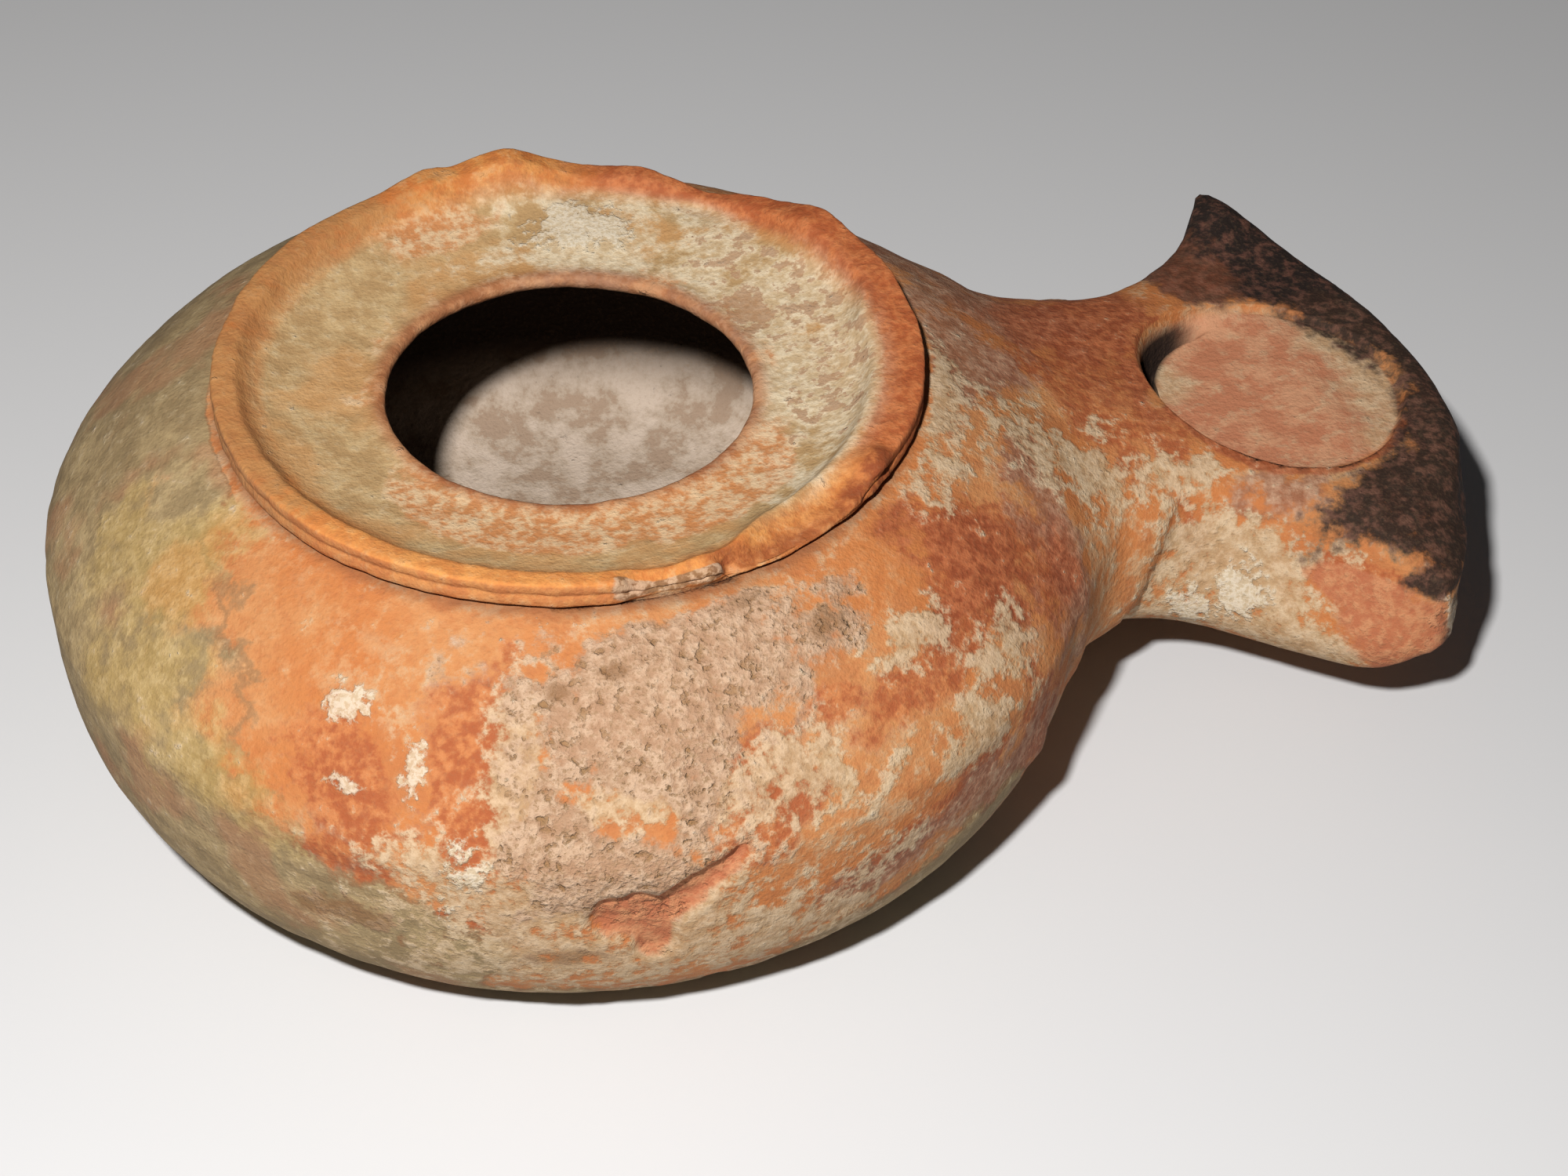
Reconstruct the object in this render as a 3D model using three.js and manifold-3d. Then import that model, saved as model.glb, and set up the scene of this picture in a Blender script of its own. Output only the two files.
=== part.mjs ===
// A small wheel-thrown clay oil lamp: a round hollow body with a turned collar around the
// filling hole, and a spatula-shaped nozzle whose two flukes were pared with a knife.
// Millimetres, +Z up. The origin is the centre of the base, on the surface the lamp stands on,
// and the nozzle points along +X.
import * as THREE from "three";
import { mergeVertices } from "three/addons/utils/BufferGeometryUtils.js";
import Module from "manifold-3d";

// Body
const bodyRadius = 32;
const bellyHeight = 15.7;
const baseRadius = 19.2;
const lowerWallFullness = 2.6;
const shoulderFullness = 1.4;
const turnSteps = 72;

// Collar and saucer
const collarRadius = 20.9;
const collarTop = 27.6;
const collarLand = 1.6;
const grooveRadius = 20.1;
const grooveHeight = 25.8;
const fillingHoleRadius = 11.1;
const saucerHeight = 25.3;

// Wall
const wall = 3.3;
const floorThickness = 3.6;
const lipThickness = 2.1;

// Nozzle, whose stations are distances from the body's axis
const rootStation = 22;
const neckStation = 36.5;
const flukeStation = 49.8;
const tipStation = 57.4;
const tipSideways = -1.4;
const neckHalfWidth = 11;
const flukeHalfWidth = 21.2;
const rootTop = 24.2;
const tipTop = 16.2;
const neckUnderside = 5.2;
const tipUnderside = 7.6;

// Oil channel and wick hole
const channelHalfWidth = 7.2;
const channelHalfHeight = 3.6;
const channelHeight = 12.7;
const wickHoleCentre = 46;
const wickHoleSideways = -0.8;
const wickHoleHalfLength = 8.4;
const wickHoleHalfWidth = 8.5;
const wickFloor = 9.4;

// Round stretches of the nozzle's outline: the fillets between body and neck, and the front arc
const filletRadius = (neckStation ** 2 + neckHalfWidth ** 2 - bodyRadius ** 2)
  / (2 * (bodyRadius - neckHalfWidth));
const frontReach = tipStation - flukeStation;
const frontRadius = (flukeHalfWidth ** 2 + frontReach ** 2) / (2 * frontReach);

// Damage to the collar, by the angle of its middle from the nozzle's axis, in degrees.
// A lift raises the rim's top, and a bite takes away its overhanging outer edge.
const collarDamage = [
  { angle: 88, span: 13, lift: 1.0, bite: 0 },
  { angle: 52, span: 20, lift: -1.1, bite: 0.5 },
  { angle: 18, span: 18, lift: 0.4, bite: 0 },
  { angle: -63, span: 20, lift: -0.2, bite: 0.9 },
  { angle: -88, span: 9, lift: -0.3, bite: 0.3 },
];

const wasm = await Module();
wasm.setup();

function mix(a, b, t) {
  return a + (b - a) * t;
}

// A closed body from a grid of rings: every ring has as many points as the next one, and a
// first and a last single point close its two ends.
function closedBody(startPoint, rings, endPoint) {
  const positions = [startPoint, ...rings.flat(), endPoint];
  const count = rings[0].length;
  const last = positions.length - 1;
  const index = [];
  for (let side = 0; side < count; side++) {
    const next = (side + 1) % count;
    index.push(0, 1 + next, 1 + side);
    for (let ring = 0; ring < rings.length - 1; ring++) {
      const near = 1 + ring * count;
      const far = near + count;
      index.push(near + side, near + next, far + side);
      index.push(near + next, far + next, far + side);
    }
    index.push(last, last - count + side, last - count + next);
  }
  const geometry = new THREE.BufferGeometry();
  geometry.setAttribute("position", new THREE.Float32BufferAttribute(positions.flat(), 3));
  geometry.setIndex(index);
  return geometry;
}

function toSolid(geometry) {
  geometry.deleteAttribute("normal");
  geometry.deleteAttribute("uv");
  const merged = mergeVertices(geometry, 1e-5);
  const mesh = new wasm.Mesh({
    numProp: 3,
    vertProperties: Float32Array.from(merged.attributes.position.array),
    triVerts: Uint32Array.from(merged.index.array),
  });
  return new wasm.Manifold(mesh);
}

function toGeometry(solid) {
  const mesh = solid.getMesh();
  const geometry = new THREE.BufferGeometry();
  geometry.setAttribute("position", new THREE.Float32BufferAttribute(mesh.vertProperties, 3));
  geometry.setIndex(Array.from(mesh.triVerts));
  geometry.computeVertexNormals();
  return geometry;
}

// A quarter of a superellipse from (outer radius, mid height) to (inner radius, end height).
function quarterCurve(innerRadius, outerRadius, midHeight, endHeight, fullness, steps) {
  const points = [];
  for (let step = 0; step <= steps; step++) {
    const turn = (step / steps) * (Math.PI / 2);
    const out = Math.cos(turn) ** (2 / fullness);
    const up = Math.sin(turn) ** (2 / fullness);
    points.push([mix(innerRadius, outerRadius, out), mix(midHeight, endHeight, up)]);
  }
  return points;
}

// How much the collar is raised and bitten into at an angle.
function collarWear(angle) {
  let lift = 0;
  let bite = 0;
  for (const damage of collarDamage) {
    const away = THREE.MathUtils.euclideanModulo(angle - damage.angle + 180, 360) - 180;
    const share = Math.exp(-((away / (damage.span / 1.6)) ** 4));
    lift += damage.lift * share;
    bite += damage.bite * share;
  }
  return { lift, bite };
}

// The outside of the body at an angle, from the rim of the base up over the belly, the
// shoulder and the collar and down the saucer, closed by two points on the axis.
function bodyProfile(angle) {
  const { lift, bite } = collarWear(angle);
  const edge = collarRadius - bite;
  const top = collarTop + lift;
  const lower = quarterCurve(baseRadius, bodyRadius, bellyHeight, 0, lowerWallFullness, 8);
  const upper = quarterCurve(grooveRadius, bodyRadius, bellyHeight, grooveHeight, shoulderFullness, 7);
  const collar = [
    [edge - 0.1, grooveHeight + 0.35],
    [edge, top - 0.5],
    [edge - 0.5, top],
    [edge - collarLand, top - 0.1],
    [edge - collarLand - 0.6, mix(saucerHeight, top, 0.55)],
  ];
  const saucer = [
    [17, saucerHeight + 0.75],
    [14, saucerHeight + 0.2],
    [fillingHoleRadius - 1, saucerHeight],
  ];
  return [...lower.reverse(), ...upper.slice(1), ...collar, ...saucer];
}

// A turned body whose profile may change with the angle.
function turned(profileAt, steps, bottom, top) {
  const columns = [];
  for (let step = 0; step < steps; step++) {
    const degrees = (step / steps) * 360;
    const turn = THREE.MathUtils.degToRad(degrees);
    columns.push(profileAt(degrees).map(([radius, height]) => [
      radius * Math.cos(turn), radius * Math.sin(turn), height]));
  }
  const rings = columns[0].map((_, level) => columns.map((column) => column[level]));
  return closedBody([0, 0, bottom], rings, [0, 0, top]);
}

function thrownBody() {
  return toSolid(turned(bodyProfile, turnSteps, 0, saucerHeight));
}

// The reservoir with the filling hole above it.
function reservoir() {
  const innerRadius = bodyRadius - wall;
  const ceiling = saucerHeight - lipThickness;
  const lower = quarterCurve(baseRadius - 2, innerRadius, bellyHeight, floorThickness, lowerWallFullness, 6);
  const upper = quarterCurve(fillingHoleRadius, innerRadius, bellyHeight, ceiling, 1.7, 6);
  const opening = [[fillingHoleRadius, saucerHeight], [fillingHoleRadius + 0.4, collarTop + 2]];
  const profile = [...lower.reverse(), ...upper.slice(1), ...opening];
  const outline = [new THREE.Vector2(0, floorThickness)];
  profile.forEach(([radius, height]) => outline.push(new THREE.Vector2(radius, height)));
  outline.push(new THREE.Vector2(0, collarTop + 2));
  const geometry = new THREE.LatheGeometry(outline, turnSteps);
  geometry.rotateX(Math.PI / 2);
  return toSolid(geometry);
}

// Half the nozzle's width: a round fillet out of the body, the neck, the splayed pared side,
// and then the front arc.
function nozzleHalfWidth(station) {
  if (station < neckStation) {
    const reach = Math.min(neckStation - station, filletRadius * 0.86);
    return neckHalfWidth + filletRadius - Math.sqrt(filletRadius ** 2 - reach ** 2);
  }
  if (station <= flukeStation) {
    const splay = ((station - neckStation) / (flukeStation - neckStation)) ** 1.9;
    return mix(neckHalfWidth, flukeHalfWidth, splay);
  }
  const fromCentre = station - (tipStation - frontRadius);
  return Math.sqrt(Math.max(frontRadius ** 2 - fromCentre ** 2, 1));
}

// One upright section of the nozzle, rounder at the root and squarer at the flukes, with a
// crisper edge above than below.
function nozzleSection(station) {
  const along = (station - rootStation) / (tipStation - rootStation);
  const top = mix(rootTop, tipTop, 1 - (1 - along) ** 2);
  const underside = mix(neckUnderside, tipUnderside, along ** 3);
  const squareness = THREE.MathUtils.clamp((station - bodyRadius + 3) / 14, 0, 1);
  const sideways = tipSideways * Math.max(station - flukeStation, 0) / frontReach;
  const halfWidth = nozzleHalfWidth(station);
  const sides = 28;
  const section = [];
  for (let side = 0; side < sides; side++) {
    const turn = (side / sides) * 2 * Math.PI;
    const power = 2 / mix(2.2, Math.sin(turn) > 0 ? 7 : 4.5, squareness);
    const out = Math.sign(Math.cos(turn)) * Math.abs(Math.cos(turn)) ** power;
    const up = Math.sign(Math.sin(turn)) * Math.abs(Math.sin(turn)) ** power;
    section.push([station, sideways + halfWidth * out, mix(underside, top, (1 + up) / 2)]);
  }
  return section;
}

function nozzle() {
  const sections = [];
  for (let step = 0; step <= 16; step++) {
    sections.push(nozzleSection(mix(rootStation, flukeStation, step / 16)));
  }
  for (let step = 1; step <= 7; step++) {
    sections.push(nozzleSection(mix(flukeStation, tipStation, Math.sin((step / 7) * (Math.PI / 2)))));
  }
  const start = [rootStation, 0, mix(neckUnderside, rootTop, 0.5)];
  const end = [tipStation, tipSideways, mix(tipUnderside, tipTop, 0.5)];
  return toSolid(closedBody(start, sections, end));
}

// The channel that brings oil from the reservoir to the wick hole.
function oilChannel() {
  const start = bodyRadius - wall - 4;
  const end = wickHoleCentre - 1;
  const sides = 20;
  const sections = [start, end].map((station) => {
    const section = [];
    for (let side = 0; side < sides; side++) {
      const turn = (side / sides) * 2 * Math.PI;
      const across = channelHalfWidth * Math.cos(turn);
      section.push([station, across, channelHeight + channelHalfHeight * Math.sin(turn)]);
    }
    return section;
  });
  return toSolid(closedBody([start, 0, channelHeight], sections, [end, 0, channelHeight]));
}

// The wick hole is a bowl, deepest towards the channel, that opens through the top.
function wickHole() {
  const levels = [0, 0.35, 0.7, 1, 1.6, 2.2];
  const depth = tipTop - wickFloor;
  const sides = 32;
  const rings = levels.map((level) => {
    const growth = Math.sqrt(1 - (1 - Math.min(level, 1)) ** 2 * 0.6);
    const ring = [];
    for (let side = 0; side < sides; side++) {
      const turn = (side / sides) * 2 * Math.PI;
      const along = wickHoleHalfLength * growth * Math.cos(turn);
      const across = wickHoleSideways + wickHoleHalfWidth * growth * Math.sin(turn);
      ring.push([wickHoleCentre - (1 - growth) * 3 + along, across, wickFloor + level * depth]);
    }
    return ring;
  });
  const bottom = [wickHoleCentre - 1, wickHoleSideways, wickFloor];
  const top = [wickHoleCentre, wickHoleSideways, wickFloor + levels.at(-1) * depth];
  return toSolid(closedBody(bottom, rings, top));
}

const firedClay = new THREE.MeshStandardMaterial({
  name: "fired_clay",
  color: new THREE.Color(0xc08a5e),
  roughness: 0.9,
  metalness: 0,
});

const lampSolid = thrownBody()
  .add(nozzle())
  .subtract(reservoir())
  .subtract(oilChannel())
  .subtract(wickHole());
const lamp = new THREE.Mesh(toGeometry(lampSolid), firedClay);
lamp.name = "lamp";

const oilLamp = new THREE.Group();
oilLamp.name = "oil_lamp";
oilLamp.add(lamp);
export default oilLamp;
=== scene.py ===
"""A small wheel-thrown clay oil lamp with a pared spatula nozzle, as it was dug up and cleaned.

Shapes are worked out in millimetres, in the row's own frame: +Z up along the axis of the round
body, +X from that axis along the nozzle, the origin on the surface that the lamp stands on.
"""
import math

import bpy
import numpy as np
from mathutils import Matrix, Vector


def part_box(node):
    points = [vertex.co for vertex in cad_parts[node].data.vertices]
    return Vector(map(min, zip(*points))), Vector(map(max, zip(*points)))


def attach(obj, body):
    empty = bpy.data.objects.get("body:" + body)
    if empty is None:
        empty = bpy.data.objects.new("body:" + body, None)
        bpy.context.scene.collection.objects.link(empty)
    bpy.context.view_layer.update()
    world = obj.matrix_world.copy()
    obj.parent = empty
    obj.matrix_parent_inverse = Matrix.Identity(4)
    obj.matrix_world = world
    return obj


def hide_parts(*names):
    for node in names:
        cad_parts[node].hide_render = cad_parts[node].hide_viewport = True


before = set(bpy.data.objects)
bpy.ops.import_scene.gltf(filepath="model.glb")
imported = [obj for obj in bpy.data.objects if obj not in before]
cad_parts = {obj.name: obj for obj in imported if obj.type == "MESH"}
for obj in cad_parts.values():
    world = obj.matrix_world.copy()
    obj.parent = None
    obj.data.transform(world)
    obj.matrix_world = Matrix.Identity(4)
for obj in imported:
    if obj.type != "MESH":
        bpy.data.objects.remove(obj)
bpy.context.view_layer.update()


# ---------------------------------------------------------------------------------------------
# The lamp: its outside. One piece of clay: a body thrown on the wheel, with a nozzle shaped by
# hand, luted on, smoothed over at the neck and pared with a knife at both flukes.
# ---------------------------------------------------------------------------------------------
MM = 0.001
lamp_low, lamp_high = (np.array(corner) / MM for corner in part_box("lamp"))

body_radius = -lamp_low[0]
belly_height = 0.49 * body_radius
base_radius = 0.6 * body_radius
groove_radius = 20.1
groove_height = 25.8
lower_fullness = 2.6
shoulder_fullness = 1.4

root_station = 22.0
neck_station = 36.5
fluke_station = 49.8
tip_station = lamp_high[0]
neck_half_width = 11.0
fluke_half_width = 21.2
root_top = 24.2
tip_top = 16.2
neck_underside = 5.2
tip_underside = 7.6
tip_sideways = -1.4
far_fluke_fullness = 7.0
near_fluke_fullness = 3.6
underside_fullness = 4.5
root_fullness = 2.2
join_fillet = 2.6
front_reach = tip_station - fluke_station
front_radius = (fluke_half_width ** 2 + front_reach ** 2) / (2 * front_reach)
fillet_radius = (neck_station ** 2 + neck_half_width ** 2 - body_radius ** 2) / (
    2 * (body_radius - neck_half_width)
)


def mix(start, end, share):
    """start + (end - start) * share."""
    return start + (end - start) * share


def smooth(value, start, end):
    """0 below start, 1 above end, and the cubic 3t^2 - 2t^3 between them."""
    t = np.clip((value - start) / (end - start), 0, 1)
    return t * t * (3 - 2 * t)


def lesser(a, b, blend):
    """The lesser of a and b, with a fillet where they differ by less than blend."""
    share = np.clip(0.5 + 0.5 * (b - a) / blend, 0, 1)
    return mix(b, a, share) - blend * share * (1 - share)


def greater(a, b, blend):
    """The greater of a and b, with a rounded edge where they differ by less than blend."""
    return -lesser(-a, -b, blend)


def oval_distance(across, up, width, height, fullness):
    """Distance outside a superellipse |across/width|^n + |up/height|^n = 1, by value over slope."""
    p = np.abs(across) / width
    q = np.abs(up) / height
    s = np.maximum((p ** fullness + q ** fullness) ** (1 / fullness), 1e-6)
    slope = np.hypot((p / s) ** (fullness - 1) / width, (q / s) ** (fullness - 1) / height)
    return (s - 1) / np.maximum(slope, 1e-6)


def body_distance(x, y, z):
    """Distance outside the thrown body: a quarter superellipse below the belly and one above it,
    turned about the axis."""
    out = np.maximum(np.hypot(x, y) - np.where(z < belly_height, base_radius, groove_radius), 0)
    below = oval_distance(out, z - belly_height, body_radius - base_radius, belly_height, lower_fullness)
    above = oval_distance(out, z - belly_height, body_radius - groove_radius,
                          groove_height - belly_height, shoulder_fullness)
    return np.where(z < belly_height, below, above)


def sideways(x):
    """How far the nozzle's middle lies from the lamp's own middle plane."""
    return tip_sideways * np.maximum(x - fluke_station, 0) / front_reach


def nozzle_half_width(x):
    """A fillet out of the body up to the neck, then a side that splays as a power of the way."""
    reach = np.clip(neck_station - x, 0, 0.86 * fillet_radius)
    fillet = neck_half_width + fillet_radius - np.sqrt(fillet_radius ** 2 - reach ** 2)
    splay = np.clip((x - neck_station) / (fluke_station - neck_station), 0, 1.6) ** 1.9
    return np.where(x < neck_station, fillet, mix(neck_half_width, fluke_half_width, splay))


def nozzle_top(x):
    """Height of the nozzle's top, a parabola that flattens towards the tip."""
    along = np.clip((x - root_station) / (tip_station - root_station), 0, 1)
    return mix(root_top, tip_top, 1 - (1 - along) ** 2)


def nozzle_underside(x):
    """Height of the nozzle's underside, a cubic that lifts towards the tip."""
    along = np.clip((x - root_station) / (tip_station - root_station), 0, 1)
    return mix(neck_underside, tip_underside, along ** 3)


def nozzle_lobes(x, across, z):
    """How far the clay stands proud of the nozzle's plain section: a fat lobe low on the near fluke
    and a blunt tip on the far one. Each is a bell along the nozzle, and the lobe one in height."""
    lobe_size = 2.5
    tip_size = 1.3
    lobe = np.exp(-(((x - 43.0) / 7.0) ** 2) - ((z - 8.0) / 4.5) ** 2) * smooth(-across, 3, 10)
    blunt_tip = np.exp(-(((x - 49.5) / 3.2) ** 2)) * smooth(across, 12, 18)
    return lobe_size * lobe + tip_size * blunt_tip


def nozzle_distance(x, y, z):
    """Distance outside the nozzle: an upright superellipse at every station, squarer towards the
    flukes, cut by the round front wall. The edge between them is worn, most on the near fluke."""
    top = nozzle_top(x)
    underside = nozzle_underside(x)
    squareness = np.clip((x - body_radius + 3) / 14, 0, 1)
    middle = (top + underside) / 2
    across = y - sideways(x)
    width = nozzle_half_width(x)
    height = (top - underside) / 2
    fluke_fullness = np.where(across < 0, near_fluke_fullness, far_fluke_fullness)
    upper = oval_distance(across, z - middle, width, height,
                          mix(root_fullness, fluke_fullness, squareness))
    lower = oval_distance(across, z - middle, width, height,
                          mix(root_fullness, underside_fullness, squareness))
    section = np.where(z > middle, upper, lower) - nozzle_lobes(x, across, z)
    front = np.hypot(x - (tip_station - front_radius), across) - front_radius
    wear = mix(2.0, 6.0, smooth(-across, 5, 15))
    return np.maximum(greater(section, front, wear), root_station - x)


def shell_distance(x, y, z):
    """Distance outside the body and the nozzle together, with a fillet of clay between them."""
    return lesser(body_distance(x, y, z), nozzle_distance(x, y, z), join_fillet)


def lamp_outside(station_count, front_count, around_count):
    """A closed surface of two parameters. The first runs along the lamp, close together at both
    ends, and the second goes round a spine inside it. Each point lies where the ray from the
    spine leaves the clay, found by halving."""
    halvings = 26
    turn = np.linspace(0, math.pi, station_count)[1:]
    back = body_radius - 2
    stations = np.where(
        turn < math.pi / 2,
        -body_radius * np.cos(turn),
        mix(0, fluke_station, (turn - math.pi / 2) / (math.pi / 2)),
    )
    toward_tip = np.linspace(1, 0, front_count + 1)[1:-1]
    stations = np.concatenate([stations, tip_station - front_reach * toward_tip ** 2,
                               [tip_station - 0.002]])
    x = stations[:, None]
    low_spine = belly_height - 1.5
    nozzle_spine = (nozzle_top(x) + nozzle_underside(x)) / 2
    spine_height = mix(low_spine, nozzle_spine, smooth(x, 20, 34))
    spine_height = np.where(x < 0, mix(belly_height, low_spine, smooth(x, -back, 0)), spine_height)
    spine_side = sideways(x)
    body_half_width = np.sqrt(np.maximum(body_radius ** 2 - x ** 2, 0))
    half_width = np.maximum(body_half_width, nozzle_half_width(x) * (x > 24))
    half_height = mix(13.0, 5.0, smooth(x, 22, 44))
    angle = np.linspace(0, 2 * math.pi, around_count, endpoint=False)[None, :]
    ray_y = np.cos(angle) * half_width
    ray_z = np.sin(angle) * np.maximum(half_height, 0.45 * half_width)
    length = np.hypot(ray_y, ray_z)
    ray_y = ray_y / length
    ray_z = ray_z / length
    near = np.zeros_like(ray_y)
    far = np.full_like(ray_y, 1.5 * body_radius)
    for _ in range(halvings):
        middle = (near + far) / 2
        outside = shell_distance(x, spine_side + middle * ray_y, spine_height + middle * ray_z) > 0
        far = np.where(outside, middle, far)
        near = np.where(outside, near, middle)
    points = np.stack([x + 0 * near, spine_side + near * ray_y, spine_height + near * ray_z], axis=2)
    start = np.array([-body_radius, 0, belly_height])
    end = np.array([tip_station, tip_sideways, (tip_top + tip_underside) / 2])
    return points, start, end


def closed_faces(rings, around):
    """Faces of a grid of rings that is closed round about, and by a point at either end."""
    ring, side = np.meshgrid(np.arange(rings - 1), np.arange(around), indexing="ij")
    near = 1 + ring * around
    far = near + around
    after = (side + 1) % around
    quads = np.stack([near + side, far + side, far + after, near + after], axis=2).reshape(-1, 4)
    side = np.arange(around)
    after = (side + 1) % around
    last = 1 + (rings - 1) * around
    first_fan = np.stack([np.zeros_like(side), 1 + side, 1 + after], axis=1)
    last_fan = np.stack([np.full_like(side, last + around), last + after, last + side], axis=1)
    return quads, np.concatenate([first_fan, last_fan])


def ring_faces(rings, around):
    """Faces of a grid of rings that is closed both ways, as a hoop is."""
    ring, side = np.meshgrid(np.arange(rings), np.arange(around), indexing="ij")
    next_ring = (ring + 1) % rings
    after = (side + 1) % around
    quads = np.stack([ring * around + side, next_ring * around + side,
                      next_ring * around + after, ring * around + after], axis=2)
    return (quads.reshape(-1, 4),)


def facing_out(points, faces):
    """The faces turned over if the volume that they close, summed over fans, comes out negative."""
    volume = 0
    for part in faces:
        first = points[part[:, 0]]
        for corner in range(1, part.shape[1] - 1):
            across = np.cross(points[part[:, corner]], points[part[:, corner + 1]])
            volume += (first * across).sum()
    return faces if volume > 0 else tuple(part[:, ::-1] for part in faces)


def make_clay(name, points, faces):
    """A new object from points in millimetres and lists of faces with three or four corners."""
    faces = facing_out(points, faces)
    mesh = bpy.data.meshes.new(name)
    corners = np.concatenate([part.ravel() for part in faces])
    sizes = np.concatenate([np.full(len(part), part.shape[1]) for part in faces])
    mesh.vertices.add(len(points))
    mesh.vertices.foreach_set("co", (points * MM).ravel())
    mesh.loops.add(len(corners))
    mesh.loops.foreach_set("vertex_index", corners)
    mesh.polygons.add(len(sizes))
    mesh.polygons.foreach_set("loop_start", np.concatenate([[0], np.cumsum(sizes)[:-1]]))
    mesh.polygons.foreach_set("loop_total", sizes)
    mesh.update(calc_edges=True)
    mesh.validate()
    made = bpy.data.objects.new(name, mesh)
    bpy.context.scene.collection.objects.link(made)
    return made


def make_closed(name, points, start, end):
    """A closed object from a grid of rings and the two points that close its ends."""
    rings, around = points.shape[:2]
    everything = np.concatenate([start[None], points.reshape(-1, 3), end[None]])
    return make_clay(name, everything, closed_faces(rings, around))


outside_points, back_end, front_end = lamp_outside(216, 50, 248)
lamp = make_closed("oil_lamp", outside_points, back_end, front_end)


# ---------------------------------------------------------------------------------------------
# The lamp: its hollows. The reservoir was left by throwing, the channel was pushed through the
# neck with a stick, and the wick hole was cut in the top and worn into a shallow bowl.
# ---------------------------------------------------------------------------------------------
wall = 3.3
floor_thickness = 3.6
saucer_height = 25.3
hole_radius = 11.1
lip_thickness = 2.1
ring_seat_radius = 20.5
channel_half_width = 7.2
channel_half_height = 3.6
channel_height = 12.7
bowl_centre = np.array([46.0, -0.8])
bowl_half_length = 8.4
bowl_half_width = 8.5


def quarter_curve(inner, outer, middle, end, fullness, steps):
    """Radius and height along a quarter of a superellipse, from the belly to the end height."""
    turn = np.linspace(0, math.pi / 2, steps)
    radius = mix(inner, outer, np.cos(turn) ** (2 / fullness))
    height = mix(middle, end, np.sin(turn) ** (2 / fullness))
    return np.stack([radius, height], axis=1)


def turn_profile(profile, around):
    """Rings of points from a profile of radius and height turned about the axis."""
    angle = np.linspace(0, 2 * math.pi, around, endpoint=False)[None, :]
    radius = profile[:, :1]
    height = profile[:, 1:]
    return np.stack([radius * np.cos(angle), radius * np.sin(angle), height + 0 * angle], axis=2)


def reservoir_inside():
    """The oil's space: a floor, a round wall and a ceiling, then an opening up through the seat of
    the collar, wide enough to take the whole saucer out."""
    ceiling = saucer_height - lip_thickness
    opening_top = ceiling + 7
    inner = body_radius - wall
    lower = quarter_curve(base_radius - 2, inner, belly_height, floor_thickness,
                          lower_fullness, 26)[::-1]
    upper = quarter_curve(hole_radius, inner, belly_height, ceiling, 1.7, 40)[1:]
    upper = upper[upper[:, 0] > ring_seat_radius]
    centre = np.array([[radius, floor_thickness] for radius in (0.02, 4, 8, 12)])
    opening = np.array([[ring_seat_radius, ceiling - 1], [ring_seat_radius, opening_top]])
    profile = np.concatenate([centre, lower, upper, opening, [[0.02, opening_top]]])
    bottom = np.array([0, 0, floor_thickness])
    return turn_profile(profile, 160), bottom, np.array([0, 0, opening_top])


def oil_channel():
    """An oval tube along the nozzle. It rises, narrows and bears to the far side by the square of the
    way, and its last tenth is the round nose of an ellipsoid."""
    start = body_radius - wall - 5
    end = bowl_centre[0] - 6.3
    nose = 0.9
    round_nose = nose + (1 - nose) * np.sin(np.linspace(0.15, 1.54, 12))
    along = np.concatenate([np.linspace(0, nose, 14), round_nose])[:, None]
    angle = np.linspace(0, 2 * math.pi, 64, endpoint=False)[None, :]
    size = np.sqrt(1 - np.clip((along - nose) / (1 - nose), 0, 0.999) ** 2)
    bearing = 3.6 * along ** 2
    rise = 1.2 * along ** 2
    narrower = 1 - 0.30 * along ** 2
    flatter = 1 - 0.08 * along ** 2
    across = bearing + channel_half_width * narrower * size * np.cos(angle)
    up = channel_height + rise + channel_half_height * flatter * size * np.sin(angle)
    points = np.stack([mix(start, end, along) + 0 * angle, across, up], axis=2)
    nose_tip = np.array([end, bearing[-1, 0], channel_height + rise[-1, 0]])
    return points, np.array([start, 0, channel_height]), nose_tip


def wick_bowl():
    """A dish of two parameters, the way out from its centre and the angle. Its floor is shallow,
    drops into a slot at the channel's mouth, and its edge flares with wear."""
    floor_height = 15.9
    slot_depth = 3.6
    edge_drop = 0.5
    flared = [1.03, 1.08, 1.16, 1.26]
    out = np.concatenate([np.linspace(0.02, 0.80, 15), np.linspace(0.83, 1, 14), flared])[:, None]
    angle = np.linspace(0, 2 * math.pi, 120, endpoint=False)[None, :]
    wander = 1 + 0.02 * np.sin(3 * angle + 0.6) + 0.012 * np.sin(5 * angle + 2)
    x = bowl_centre[0] + bowl_half_length * out * wander * np.cos(angle)
    y = bowl_centre[1] + bowl_half_width * out * wander * np.sin(angle)
    edge = nozzle_top(x)
    round_about = np.degrees(angle)
    slot = smooth(out, 0.855, 0.935) * smooth(round_about, 98, 122) * (1 - smooth(round_about, 186, 206))
    deepest = floor_height + 0.03 * np.maximum(x - 42, 0) - slot_depth * slot
    deepest = np.minimum(deepest, edge - 0.55)
    steepness = mix(16.0, 3.0, smooth(x, 40, 52))
    inside = mix(deepest, edge - edge_drop, np.clip(out, 0, 1) ** steepness)
    flare = edge - edge_drop + 0.9 * (np.clip(out, 1, 2) - 1) / 0.08
    z = np.where(out <= 1, inside, flare)
    points = np.stack([x, y, z], axis=2)
    bottom, top = (np.array([*bowl_centre, ring.mean()]) for ring in (z[0], z[-1]))
    return points, bottom, top


reservoir_tool = make_closed("reservoir_tool", *reservoir_inside())
channel_tool = make_closed("channel_tool", *oil_channel())
bowl_tool = make_closed("bowl_tool", *wick_bowl())


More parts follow.
